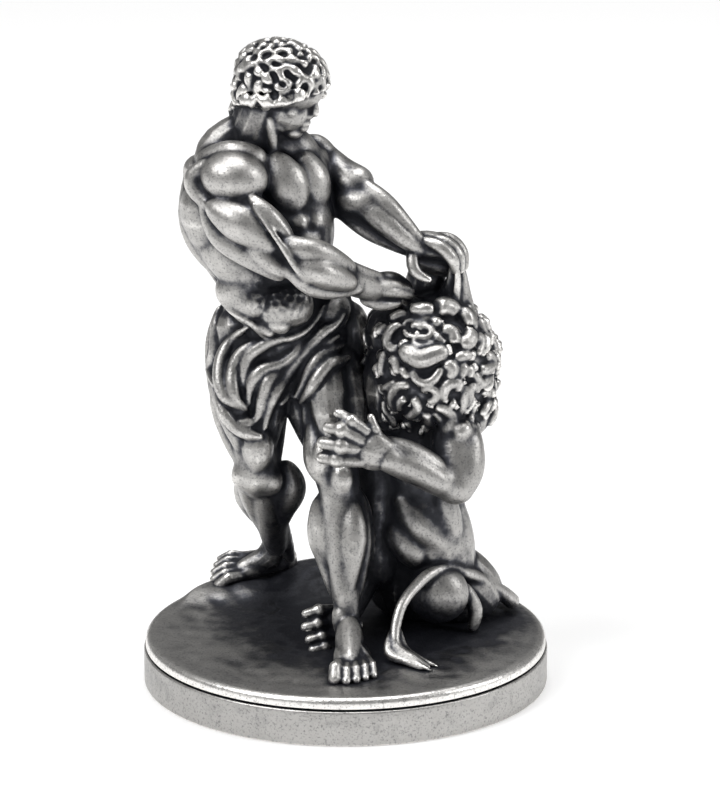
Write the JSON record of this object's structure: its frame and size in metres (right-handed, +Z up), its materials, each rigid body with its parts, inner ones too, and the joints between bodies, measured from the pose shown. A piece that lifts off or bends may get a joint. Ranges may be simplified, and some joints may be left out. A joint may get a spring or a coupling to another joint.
{
  "type": "samson and lion statue",
  "caption": "Small cast metal statue of a strong man in a loincloth wrenching open the jaws of a lion, on a round plinth.",
  "frame": {"origin": "centre of the plinth's underside", "axes": "+Z up, -Y towards the front, where the lion's foreleg crosses the man's thigh, +X to the front viewer's right, the lion's side"},
  "size_m": [0.05, 0.05, 0.0812],
  "materials": {
    "figures": "antiqued cast pewter, dark in the hollows and rubbed bright on the high places",
    "plinth": "satin cast pewter with a bright rubbed edge"
  },
  "bodies": {
    "root": {"statue": "figures", "plinth": "plinth"}
  },
  "joints": []
}
